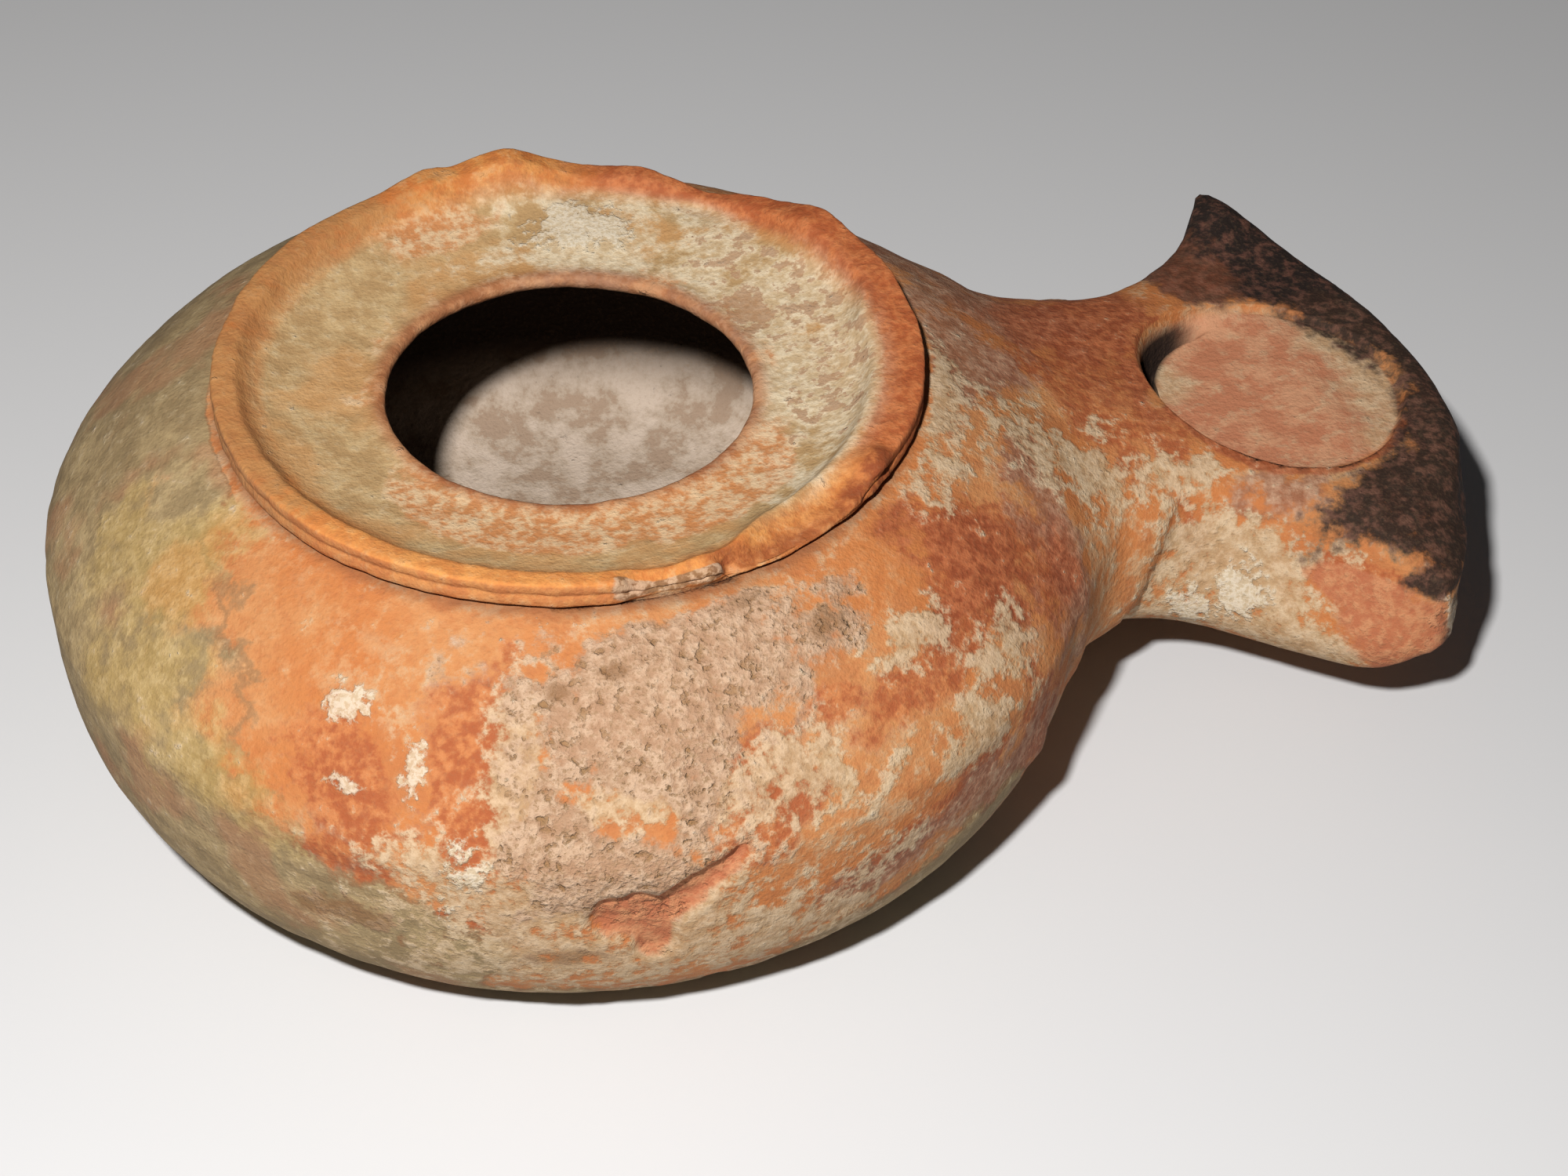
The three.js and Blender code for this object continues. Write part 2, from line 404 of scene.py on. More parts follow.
# ---------------------------------------------------------------------------------------------
# The lamp: its collar and saucer, turned on the wheel as one ring round the filling hole. The
# collar stands up and overhangs a groove. Its edge is chipped, and a stretch has broken off.
# ---------------------------------------------------------------------------------------------
collar_radius = 21.1
collar_top = 27.6
ring_around = 420
broken_from, broken_to = -79, -47
chip_from, chip_to = -95, -77


def lattice_value(cell, seed):
    """A number from -1 to 1 for every whole-number cell, by mixing its bits."""
    mixed = cell[..., 0] * 374761393 + cell[..., 1] * 668265263 + cell[..., 2] * 1274126177
    mixed = mixed + seed * 69069
    mixed = (mixed ^ (mixed >> 13)) & 0x7FFFFFFF
    mixed = (mixed * 1274126177) & 0x7FFFFFFF
    mixed = (mixed ^ (mixed >> 16)) & 0xFFFFFF
    return mixed / 0x7FFFFF - 1


def noise(points, size, seed):
    """Smooth noise from -1 to 1: lattice values a size apart, mixed across each cell by the cubic
    3t^2 - 2t^3."""
    place = points / size
    cell = np.floor(place).astype(np.int64)
    t = place - cell
    t = t * t * (3 - 2 * t)
    value = 0
    for corner in range(8):
        step = np.array([corner & 1, (corner >> 1) & 1, corner >> 2])
        weight = np.prod(np.where(step == 1, t, 1 - t), axis=-1)
        value = value + weight * lattice_value(cell + step, seed)
    return value


def rough(points, size, seed, octaves=4, fall=0.55):
    """Noise on noise: each octave is half the size of the last and fall times as strong."""
    total = 0
    strength = 1.0
    for octave in range(octaves):
        total = total + strength * noise(points + 17.3 * octave, size / 2 ** octave, seed + octave)
        strength *= fall
    return total


def near_angle(degrees, middle, span):
    """A bell of 1 at the middle angle, exp(-(away/span)^2)."""
    away = (degrees - middle + 180) % 360 - 180
    return np.exp(-((away / span) ** 2))


def over_angles(degrees, start, end, soft):
    """1 between two angles, falling to 0 over the soft angle at either side."""
    away = np.abs((degrees - (start + end) / 2 + 180) % 360 - 180)
    return 1 - smooth(away, (end - start) / 2 - soft / 2, (end - start) / 2 + soft / 2)


def closed_curve(corners, samples):
    """A closed uniform cubic B-spline shaped by loops of corners, with the same number of samples
    on every span."""
    t = (np.arange(samples) / samples)[None, None, :, None]
    before, here = np.roll(corners, 1, axis=1)[:, :, None], corners[:, :, None]
    after, beyond = np.roll(corners, -1, axis=1)[:, :, None], np.roll(corners, -2, axis=1)[:, :, None]
    curve = ((1 - t) ** 3 * before + (3 * t ** 3 - 6 * t ** 2 + 4) * here
             + (-3 * t ** 3 + 3 * t ** 2 + 3 * t + 1) * after + t ** 3 * beyond) / 6
    return curve.reshape(len(corners), -1, 2)


def collar_and_saucer():
    """A hoop of two parameters, the angle and the way round a closed profile of radius and height.
    The rim's height, overhang and width change with the angle, by bells and noise. A lift gives its
    middle angle, its span and how much it raises the rim."""
    degrees = np.linspace(-180, 180, ring_around, endpoint=False)
    turn = np.radians(degrees)
    circle = np.stack([np.cos(turn), np.sin(turn), 0 * turn], axis=1) * collar_radius
    lifts = [(88, 7, 1.0), (103, 6, 0.6), (72, 7, -0.4), (51, 9, -1.0), (38, 5, -0.3),
             (26, 7, 0.5), (9, 8, 0.3), (-88, 6, -0.35), (-63, 14, -0.25)]
    top = collar_top + 0.08 * rough(circle, 9, 3) + 0.02 * rough(circle, 1.2, 5)
    for middle, span, lift in lifts:
        top = top + lift * near_angle(degrees, middle, span)
    broken = smooth(degrees, broken_from - 1, broken_from + 1)
    broken = broken * (1 - smooth(degrees, broken_to - 8, broken_to + 4))
    chip = over_angles(degrees, chip_from, chip_to, 4)
    overhang = over_angles(degrees, -34, 48, 24)
    edge = collar_radius + 0.12 * rough(circle, 9, 11) + 0.03 * rough(circle, 1.4, 12)
    edge = edge + 0.2 * overhang - 0.25 * broken - 0.35 * chip - 0.6 * near_angle(degrees, 52, 10)
    undercut = mix(mix(20.4, 19.9, overhang), 20.3, broken)
    land = mix(19.6, 18.1, over_angles(degrees, -72, 4, 14)) - 0.3 * near_angle(degrees, 18, 12)
    land = land + 0.08 * rough(circle, 8, 21, 2)
    arris = top - 1.15 * broken - 0.45 * chip
    foot = mix(20.75, 21.2, broken)
    corners = [
        (21.7, 22.7), (21.9, 24.3), (foot + 0.25, 25.1),
        (foot - 0.1, 25.5), (undercut, 25.75), (mix(undercut, edge, 0.5), 25.95),
        (edge - 0.12, 26.02), (edge + 0.02, 26.15), (edge + 0.02, mix(26.15, arris, 0.36)),
        (edge - 0.16, mix(26.15, arris, 0.48)), (edge + 0.04, mix(26.15, arris, 0.6)),
        (edge + 0.05, arris - 0.22), (edge - 0.01, arris - 0.02), (edge - 0.22, arris + 0.04),
        (mix(edge, land, 0.5), mix(arris, top, 0.5) - 0.35 * broken), (land + 0.25, top - 0.02),
        (land - 0.02, top - 0.15), (land - 0.4, top - 0.75), (mix(land, 15.5, 0.35), 26.25), (16.0, 25.8),
        (14.4, 25.5), (13.0, 25.28), (12.1, 25.32),
        (11.5, 25.42), (11.1, 25.3), (10.98, 25.0),
        (11.05, 24.65), (11.4, 24.3), (12.6, 23.85),
        (15.0, 23.2), (17.6, 22.45), (20.0, 21.7),
        (21.3, 21.75),
    ]
    loops = np.stack([np.stack([measure + 0 * degrees for measure in pair], axis=1)
                      for pair in corners], axis=1)
    curve = closed_curve(loops, 2)
    radius, height = curve[..., 0], curve[..., 1]
    return np.stack([radius * np.cos(turn)[:, None], radius * np.sin(turn)[:, None], height], axis=2)


ring_points = collar_and_saucer()
ring_tool = make_clay("ring_tool", ring_points.reshape(-1, 3), ring_faces(*ring_points.shape[:2]))


def cut_and_join(clay, steps):
    """Boolean steps on the clay, made final as one mesh, with the tools thrown away."""
    for operation, tool in steps:
        step = clay.modifiers.new(tool.name, "BOOLEAN")
        step.operation = operation
        step.solver = "MANIFOLD"
        step.object = tool
    bpy.context.view_layer.update()
    seen = clay.evaluated_get(bpy.context.evaluated_depsgraph_get())
    final = bpy.data.meshes.new_from_object(seen)
    clay.modifiers.clear()
    rough_mesh = clay.data
    clay.data = final
    bpy.data.meshes.remove(rough_mesh)
    for _, tool in steps:
        bpy.data.meshes.remove(tool.data)
    return final


clay_mesh = cut_and_join(lamp, [
    ("DIFFERENCE", reservoir_tool),
    ("UNION", ring_tool),
    ("DIFFERENCE", channel_tool),
    ("DIFFERENCE", bowl_tool),
])


# ---------------------------------------------------------------------------------------------
# The lamp: its skin. Throwing lines, knife work and lumps come first, then what the ground and
# use have done to it: flakes, pitted crust, lime and soot, each mark placed where it lies. Some
# marks are painted shade and painted highlight: in the groove, high inside the reservoir, at the
# wick bowl's edges, on the collar's faces and at the near fluke's front.
# ---------------------------------------------------------------------------------------------
points = np.empty(len(clay_mesh.vertices) * 3)
clay_mesh.vertices.foreach_get("co", points)
points = points.reshape(-1, 3) / MM
normals = np.empty(len(points) * 3)
clay_mesh.vertex_normals.foreach_get("vector", normals)
normals = normals.reshape(-1, 3)

station, side, height = points.T
radius = np.hypot(station, side)
degrees = np.degrees(np.arctan2(side, station))
depth = -shell_distance(station, side, height)
shoulder_length = math.hypot(body_radius - groove_radius, groove_height - belly_height)
way_down = np.where(height > belly_height, np.hypot(radius - groove_radius, groove_height - height),
                    shoulder_length + belly_height - height)

outer_skin = 1 - smooth(depth, 0.4, 1.4)
ring_skin = smooth(height, 25.2, 25.7) * smooth(22.6 - radius, 0, 0.5)
ring_skin = np.maximum(ring_skin, smooth(20.0 - radius, 0, 0.8) * smooth(height, 23.4, 24.0))
body_skin = outer_skin * (1 - ring_skin) * (1 - smooth(station, 27, 31))
nozzle_skin = smooth(station, 21, 24) * smooth(depth, 2.2, 1.2)
top_skin = nozzle_skin * smooth(normals[:, 2], 0.35, 0.6)
from_bowl = np.stack([(station - bowl_centre[0]) / bowl_half_length,
                      (side - bowl_centre[1]) / bowl_half_width])
bowl_way = np.hypot(*from_bowl)
round_bowl = np.degrees(np.arctan2(from_bowl[1], from_bowl[0])) % 360
on_nozzle = (station > 33) * (height > 8)
high_up = on_nozzle * (height > 14)
near_skin = nozzle_skin * smooth(-side, 4, 7) * smooth(normals[:, 2], 0.85, 0.6)


def oval(first, second, half_first, half_second, tilt=0):
    """1 in the middle of an oval mark, a half at its edge and 0 at twice its size. The tilt is its
    length's turn from the first measure to the second, in degrees."""
    turn = math.radians(tilt)
    lengthways = (first * math.cos(turn) + second * math.sin(turn)) / half_first
    crossways = (second * math.cos(turn) - first * math.sin(turn)) / half_second
    return np.clip(1 - 0.5 * np.hypot(lengthways, crossways), 0, 1)


def nearest_of(marks, away_from):
    """The greatest of the ovals of some marks. A mark gives its two places, half its length, half
    its width and, where it leans, the tilt of its length."""
    nearest = 0 * degrees
    for first, second, *sizes in marks:
        nearest = np.maximum(nearest, oval(*away_from(first, second), *sizes))
    return nearest


def on_body(*marks):
    """Marks on the body, by angle about the axis in degrees and way down the skin from the collar."""

    def away_from(angle, down):
        """How far each point lies round from a mark, and how far up the skin."""
        return np.radians((degrees - angle + 180) % 360 - 180) * radius, down - way_down

    return nearest_of(marks, away_from) * body_skin


def on_top(*marks):
    """Marks on the nozzle's top, by station and side."""
    return nearest_of(marks, lambda along, across: (station - along, side - across)) * top_skin


def on_near_side(*marks):
    """Marks on the nozzle's near side, by station and height."""
    return nearest_of(marks, lambda along, up: (station - along, height - up)) * near_skin


def ragged(share, seed, strength=0.30):
    """A mark's share with its edge broken up by noise, which fades out where there is no mark."""
    return share + strength * rough(points, 4.2, seed, 3, 0.65) * smooth(share, 0.02, 0.3)


bare = on_body((-147, 6, 9, 3.6), (-139, 10.5, 6, 3.6), (-126, 2.6, 8, 1.6),
               (-56, 4, 6.5, 3.4))
boundary = -167 + 2.3 * np.clip(way_down, 0, 14) + 3.2 * np.clip(way_down - 15, 0, 7)
past_boundary = (boundary - degrees + 540) % 360 - 180
khaki = 0.5 + 0.5 * np.clip(past_boundary / 12, -1, 1)
khaki = np.where(degrees > 0, smooth(degrees, 60, 105), khaki) * body_skin
low_down = mix(23, 18.5, over_angles(degrees, -72, -14, 30))
khaki = np.maximum(khaki, 0.85 * smooth(way_down, low_down, low_down + 7) * (1 - nozzle_skin))
ochre = on_body((-163, 8, 3, 6), (-156, 13, 5, 3.4), (-145, 14.5, 5, 2.2, -15),
                (-173, 10, 4, 3))
iron = on_body((-114, 10, 2.8, 5), (-128, 12.5, 4.6, 2.8, -10), (-127, 16.5, 5, 1.2, -12),
               (-122, 19.5, 6, 1.4, -5), (-85, 12, 4, 2.8), (-87, 15.2, 3.2, 1.7, 10),
               (-80, 12.4, 1.8, 1.8), (-72, 9, 2, 1.4), (-59, 10.5, 8, 1.6, 5),
               (-40, 8, 5.5, 5), (-34, 12, 3, 3), (-46, 17, 2.6, 5), (-62, 18.5, 7, 1.2, 18))
iron = np.maximum(iron, on_top((36, 4, 5, 5), (32, -1, 5, 3.6), (34.5, -5.5, 4, 3.4)))
iron = np.maximum(iron, on_near_side((45, 13.2, 3, 2), (36.8, 15, 0.7, 5, 10)))
red_and_edge_shade = on_top((32.5, 4.5, 4.5, 4.5), (37.5, 8, 3, 2.6, 20), (36.6, -1, 1.2, 4))
# Painted shade: a thin red-brown line along the wick bowl's near edge, where the rim's shade falls,
# joined to the red patches.
near_edge_shade = np.exp(-(((bowl_way - 1.04) / 0.07) ** 2)) * smooth(round_bowl, 185, 200)
near_edge_shade = near_edge_shade * (1 - smooth(round_bowl, 315, 340)) * high_up
red_and_edge_shade = np.maximum(red_and_edge_shade, near_edge_shade)
red_and_edge_shade = np.maximum(red_and_edge_shade, 0.8 * on_body((-41, 7.5, 4.4, 6), (-33, 12, 2.6, 3), (-52, 8.5, 3, 1.2)))
crust = on_body((-87, 4.2, 9.5, 3.6), (-95, 8.5, 7, 3.8), (-70, 6, 3.6, 2),
                (-107, 13.5, 3, 3.4), (-100, 16, 6, 3))
cream = on_body((-109, 11, 1.6, 5), (-91, 11.8, 7, 2.2), (-104, 17, 8, 3.4),
                (-96, 22, 13, 4.4), (-58, 8, 3, 1.5), (-48, 12.6, 2.6, 2.2),
                (-56, 15, 3.4, 1.5), (-75, 12.6, 0.9, 3, 25), (-79, 11.6, 0.9, 3, 20),
                (-69, 14, 2.6, 0.7, 25), (-31, 3.4, 3.4, 2), (-18, 2.4, 4, 1.6))
cream = np.maximum(cream, 0.7 * on_top((30, -8.5, 4, 3), (26, -7, 3, 2.4), (37, -8.6, 3, 1.4)))
cream = np.maximum(cream, on_near_side((39.5, 12, 5, 6), (36, 7.5, 4, 3), (43, 7.5, 4, 3.4)))
lime = on_body((-131, 8, 1.1, 0.8), (-121, 10.6, 0.8, 2.2), (-115, 15.5, 1.4, 1.5),
               (-128, 12.2, 1.7, 0.5, -10), (-117, 18.5, 0.7, 1.1, 20), (-107, 1, 2, 0.5))
lime = np.maximum(lime, on_near_side((39.5, 11, 1.2, 1.6), (36.6, 9, 1, 2),
                                     (51.5, 10, 1.4, 2.4)))
lime_in_saucer = oval(np.radians(degrees - 74) * radius, radius - 16, 3.4, 1.4)
lime = np.maximum(lime, 1.2 * lime_in_saucer * ring_skin)
grey = on_body((-2, 3.5, 6, 3), (-33, 13, 3.4, 3.6), (-49, 21, 9, 3.4, 15), (-70, 21, 7, 2),
               (-138, 18.5, 8, 2.6), (-123, 21, 7, 2), (24, 8, 6, 5), (-20, 9, 3, 2.4))
grey = np.maximum(grey, on_top((29.5, 5.5, 5, 4.6), (26.5, -1, 3, 3), (43.5, -11.5, 3.6, 1.6)))
stain = on_body((-127, 20.5, 2.2, 1), (-132, 21, 1.4, 0.8), (-105, 22.3, 2.2, 0.8),
                (-69, 5, 1.2, 0.9), (-78, 2, 1.8, 0.6), (-105, 5.6, 0.7, 0.5),
                (-98, 4.6, 1, 0.5))
scar = on_body((-98, 19, 2.2, 1.8), (-93.5, 18, 3.4, 1.2, 38), (-89.5, 16.6, 2.2, 0.7, 38),
               (-95.5, 21, 1.1, 1.8))
scar = np.maximum(scar, on_near_side((48, 9.6, 3.6, 3.8, -30), (45.6, 12.6, 2.6, 1.4)))

saucer = smooth(20.6 - radius, 0, 1.2) * smooth(height, 23.8, 24.4) * ring_skin
collar = ring_skin * smooth(radius, 17.9, 19.4) * smooth(height, 25.7, 26.6)
lip = smooth(12.4 - radius, 0, 1.1) * (radius > 10) * smooth(height, 23.8, 24.6)
broken_face = smooth(radius, 19.2, 20.2) * smooth(normals[:, 2], -0.3, 0.1)
fracture = collar * over_angles(degrees, -81, broken_to + 6, 3) * broken_face
rim_crust = collar * over_angles(degrees, -97, -76, 4) * smooth(radius, 20.1, 20.6)
pale_saucer = 0.56 * over_angles(degrees, -70, 110, 40) + 0.34 * near_angle(degrees, 72, 17)
pale_saucer = (pale_saucer + 0.34 * near_angle(degrees, -6, 22)) * saucer
near_part = over_angles(degrees, -150, -40, 40)
orange_saucer = mix(0.45, 1, near_part) * smooth(mix(14.6, 17.6, near_part) - radius, 0, 2.6) * saucer
orange_far = near_angle(degrees, 106, 13) * smooth(radius, 14.4, 17)
orange_saucer = np.maximum(orange_saucer, 0.8 * orange_far * saucer)
dark_saucer = over_angles(degrees, -40, 50, 30) * smooth(radius, 12.0, 14.0) * saucer * 0.42
beside_hole = oval(np.radians(degrees - 20) * radius, radius - 13.2, 2.4, 1.9)
dark_saucer = np.maximum(dark_saucer, 0.9 * beside_hole * saucer)
dull_rim = collar * over_angles(degrees, 108, 205, 50)
# Painted highlight: the collar's upward-facing tops on the near-left are brightened.
rim_highlight = collar * smooth(normals[:, 2], 0.5, 0.8) * over_angles(degrees, -150, -98, 24)
# Painted shade: the collar's steep faces on the left and near-left are darkened.
rim_face_shade = collar * smooth(normals[:, 2], 0.6, 0.2) * over_angles(degrees, -180, -92, 20)
inside = smooth(depth, 1.4, 2.6) * (radius < 31.5) * (1 - smooth(height, 23.7, 24.3))
# Painted shade: the reservoir's inside turns near black higher up, where it lies in shadow under the rim.
upper_inside_shade = inside * smooth(height, 5, 9)
red_rim = collar * over_angles(degrees, -44, 74, 30)
bowl = smooth(1.0 - bowl_way, -0.01, 0.04) * high_up
bowl = np.maximum(smooth(depth, 0.5, 1.2) * (radius > 33), bowl)
# Tan towards the tip is the clay's colour; the tan spot at the bowl's back end by the channel is a
# painted highlight, where light falls on its floor.
tan_and_highlight_bowl = bowl * np.maximum(smooth(station, 47, 53.5), oval(station - 40.5, side - 2, 1.6, 2.6))
# Painted shade: the wick bowl's far-left wall by the channel is painted near black, where shadow falls
# under the rim.
mouth_shade = smooth(bowl_way, 0.84, 0.90) * smooth(round_bowl, 98, 120) * (1 - smooth(round_bowl, 190, 210))
mouth_shade = mouth_shade * smooth(nozzle_top(station) - height, 0.75, 1.25) * on_nozzle * smooth(depth, 0.5, 1.0)
# Painted shade: the groove under the collar's overhang is darkened in the colour, where shadow falls.
groove_shade = smooth(21.6 - radius, 0, 0.8) * smooth(radius, 19.4, 20.2)
groove_shade = groove_shade * smooth(26.0 - height, 0, 0.35) * (height > 24.4)

front_gap = front_radius - np.hypot(station - (tip_station - front_radius), side - sideways(station))
soot_reach = 3.5 + 3.2 * np.exp(-(((side - 11) / 6) ** 2)) + 6.2 * np.exp(-(((side + 13) / 3.4) ** 2))
soot_and_shade = 0.5 + 0.5 * np.clip((soot_reach - front_gap) / 2.6, -1, 1)
soot_foot = mix(9.5, 12.2, smooth(-side, 8, 14))
soot_and_shade = soot_and_shade * (station > 42) * smooth(height, soot_foot, soot_foot + 2)
brown_tip = smooth(side, 6, 12) * smooth(station, 40, 45) * nozzle_skin
# Painted shade: the near fluke's front wall and the end of its lobe are darkened with the soot, where
# they lie in shadow.
front_wall_shade = 0.62 * smooth(2.0 - front_gap, 0, 1.0) * smooth(height, 8.5, 11) * (station > 46)
front_wall_shade = front_wall_shade * smooth(side, -19.6, -17.4)
lobe_end_shade = 0.62 * on_near_side((51.4, 8.6, 1.2, 5))
soot_and_shade = np.maximum(soot_and_shade, np.maximum(front_wall_shade, lobe_end_shade))

skin = {
    "bare": ragged(bare, 81), "khaki": ragged(khaki, 82), "ochre": ragged(ochre, 83),
    "iron": ragged(iron, 84),
    "red_and_edge_shade": ragged(red_and_edge_shade, 98), "rim_highlight": rim_highlight, "dull_rim": ragged(dull_rim, 99),
    "crust": ragged(crust, 85), "cream": ragged(cream, 86), "lime": ragged(lime, 87, 0.36),
    "grey": ragged(grey, 88), "stain": ragged(stain, 89, 0.2), "scar": ragged(scar, 90, 0.14),
    "soot_and_shade": ragged(soot_and_shade, 91), "saucer": saucer, "collar": collar, "lip": lip, "fracture": fracture,
    "rim_crust": ragged(rim_crust, 92), "pale_saucer": ragged(pale_saucer, 93),
    "orange_saucer": ragged(orange_saucer, 94), "dark_saucer": dark_saucer, "rim_face_shade": rim_face_shade,
    "red_rim": red_rim, "inside": inside, "upper_inside_shade": upper_inside_shade, "bowl": bowl, "tan_and_highlight_bowl": ragged(tan_and_highlight_bowl, 97),
    "mouth_shade": mouth_shade, "groove_shade": groove_shade, "brown_tip": ragged(brown_tip, 96),
}


def worn(name, sharp):
    """Where a patch of the skin lies, from 0 to 1."""
    return smooth(skin[name], 0.5 - sharp, 0.5 + sharp)


along_profile = np.where(height > belly_height, radius, 2 * body_radius - radius) + 0.35 * height
throwing = np.sin(along_profile * 2 * math.pi / 2.3 + 1.2 * noise(points, 14, 61))
throwing = throwing * (0.6 + 0.6 * noise(points, 9, 62))
crease_station = 36.6 - 0.43 * (18.6 - height) + 0.25 * noise(points, 4, 63)
pared_side = smooth(np.abs(side), 6, 9) * smooth(normals[:, 2], 0.8, 0.5) * outer_skin
pared = smooth(station, crease_station, crease_station + 0.9) * pared_side
swell = np.exp(-(((station - crease_station + 1.2) / 1.5) ** 2)) * pared_side
lump_away = np.linalg.norm(points - np.array([22.6, -21.6, 10.0]), axis=1)
facets = rough(np.stack([np.radians(degrees) * 8, radius, height], axis=1), 1.3, 75, 3)

throwing_height = 0.035
paring_depth = 0.40
swell_height = 0.34
scar_depth = 0.60
patina_thickness = 0.12
crust_thickness = 0.14
lump_height = 0.5
fracture_depth = 0.42
relief = (0.10 * noise(points, 13, 50) + 0.06 * noise(points, 5.5, 51)) * outer_skin
relief = relief + 0.04 * rough(points, 1.9, 52) * (1 - 0.6 * bare)
relief = relief + throwing_height * throwing * body_skin
relief = relief - paring_depth * pared + swell_height * swell * (station < crease_station)
relief = relief - scar_depth * worn("scar", 0.06) * body_skin
relief = relief + patina_thickness * worn("khaki", 0.05) * body_skin
crust_share = np.maximum(worn("crust", 0.12), 0.5 * worn("cream", 0.2)) * body_skin
pits = smooth(noise(points, 1.2, 70) + 0.6 * noise(points, 0.8, 71), 0.3, 0.8)
crust_relief = crust_thickness - crust_thickness * pits + 0.06 * rough(points, 1.3, 72)
relief = relief + crust_share * crust_relief
relief = relief + worn("lime", 0.12) * (0.10 + 0.08 * rough(points, 0.9, 73)) * outer_skin
relief = relief + lump_height * np.exp(-((lump_away / 1.4) ** 2))
relief = relief + collar * 0.04 * rough(points, 0.9, 74) + fracture * fracture_depth * facets
relief = relief + rim_crust * 0.12 * rough(points, 0.8, 76)
relief = relief + 0.10 * bowl * noise(points, 3.4, 77) + saucer * 0.05 * rough(points, 2.6, 78, 3)
standing = smooth(height, 0.0, 1.6)
relief = np.where(normals[:, 2] < -0.7, relief * standing, relief)

points = points + normals * relief[:, None]
points[:, 2] = np.maximum(points[:, 2], 0)
clay_mesh.vertices.foreach_set("co", (points * MM).ravel())
clay_mesh.update()
clay_mesh.shade_smooth()
for name, share in skin.items():
    values = clay_mesh.attributes.new(name, "FLOAT", "POINT").data
    values.foreach_set("value", share.astype(np.float32))


# ---------------------------------------------------------------------------------------------
# The lamp: its finish. Bare iron-rich clay under a worn skin of khaki patina, pitted crust and
# lime, with soot where the wick burned. Some of its colour is painted shade and painted highlight.
# Nothing on it shines.
# ---------------------------------------------------------------------------------------------
fired_clay = bpy.data.materials.new("fired_clay")
fired_clay.use_nodes = True
fired_clay.node_tree.nodes.clear()


class Wire:
    """A socket of a material. Arithmetic on it adds Math nodes."""

    tree = fired_clay.node_tree

    def __init__(self, socket):
        self.socket = socket

    @classmethod
    def node(cls, kind, settings, inputs, output=0):
        """Adds a node: its settings first, then the values or links of its sockets."""
        made = cls.tree.nodes.new(kind)
        for setting, value in settings.items():
            setattr(made, setting, value)
        for name, value in inputs.items():
            if isinstance(value, Wire):
                cls.tree.links.new(value.socket, made.inputs[name])
            else:
                made.inputs[name].default_value = value
        return cls(made.outputs[output]) if made.outputs else None

    def maths(self, operation, first, second):
        """One Math node on two numbers or wires."""
        return Wire.node("ShaderNodeMath", {"operation": operation}, {0: first, 1: second})

    def __add__(self, other):
        return self.maths("ADD", self, other)

    def __sub__(self, other):
        return self.maths("SUBTRACT", self, other)

    def __rsub__(self, other):
        return self.maths("SUBTRACT", other, self)

    def __mul__(self, other):
        return self.maths("MULTIPLY", self, other)

    __radd__ = __add__
    __rmul__ = __mul__


def step_up(value, start, end):
    """0 below start and 1 above end, smooth between."""
    return Wire.node("ShaderNodeMapRange", {"interpolation_type": "SMOOTHSTEP"},
                     {0: value, 1: start, 2: end, 3: 0.0, 4: 1.0})


def blend(share, under, over):
    """The colour under, covered by the colour over where share is 1."""
    colours = [value if isinstance(value, Wire) else (*value, 1.0) for value in (under, over)]
    return Wire.node("ShaderNodeMix", {"data_type": "RGBA"}, {0: share, 6: colours[0], 7: colours[1]}, 2)


place = Wire.node("ShaderNodeTexCoord", {}, {}, "Object")


def grain(millimetres, offset, detail=4.0, roughness=0.55, squash=(1, 1, 1)):
    """Noise from 0 to 1 whose largest features are so many millimetres across."""
    moved = Wire.node("ShaderNodeMapping", {}, {"Vector": place, "Location": offset, "Scale": squash})
    return Wire.node("ShaderNodeTexNoise", {}, {"Vector": moved, "Scale": 1 / (millimetres * MM),
                                               "Detail": detail, "Roughness": roughness})


def skin_share(name):
    """One of the skin's attributes."""
    return Wire.node("ShaderNodeAttribute", {"attribute_name": name}, {}, "Fac")


broad = grain(8, (0.1, 0, 0), 3.0)
patchy = grain(3.0, (0, 0.2, 0), 6.0, 0.66)
mottle = grain(1.3, (0, 0, 0.3), 5.0, 0.66)
flecks = grain(0.62, (0.4, 0, 0), 3.0, 0.6)
fine = grain(0.26, (0, 0.5, 0), 3.0, 0.6)
holes = grain(0.66, (0.6, 0, 0), 3.0, 0.55)
lines = grain(1.4, (0, 0, 0.7), 4.0, 0.6, (0.08, 0.08, 1.0))
torn = patchy * 0.5 + mottle * 0.5
crumbly = mottle * 0.5 + flecks * 0.5
speckled = torn * 0.5 + crumbly * 0.5


def laid(name, raggedness, edge, wander=torn):
    """A patch's cover, from its attribute, with an edge broken up by noise."""
    return step_up(skin_share(name) + (wander - 0.5) * raggedness, 0.5 - edge, 0.5 + edge)


def two_tone(dark, light, wander=crumbly, start=0.42, end=0.60):
    """A mottled colour: dark where the noise is below start, light where it is above end."""
    return blend(step_up(wander, start, end), dark, light)


bare_cover = laid("bare", 1.6, 0.16)
clean = 1 - bare_cover
colour = two_tone((0.64, 0.225, 0.068), (0.67, 0.29, 0.108), broad, 0.38, 0.62)
colour = blend(step_up(mottle, 0.46, 0.68) * 0.5, colour, (0.75, 0.42, 0.20))
colour = blend(step_up(1 - crumbly, 0.50, 0.64) * 0.35, colour, (0.54, 0.165, 0.052))
colour = blend(step_up(torn, 0.47, 0.57) * clean * 0.65, colour, (0.67, 0.42, 0.23))
colour = blend(step_up(1 - patchy, 0.53, 0.62) * clean * 0.5, colour, (0.54, 0.18, 0.062))
colour = blend(step_up(crumbly, 0.52, 0.64) * clean * 0.5, colour, (0.72, 0.53, 0.34))

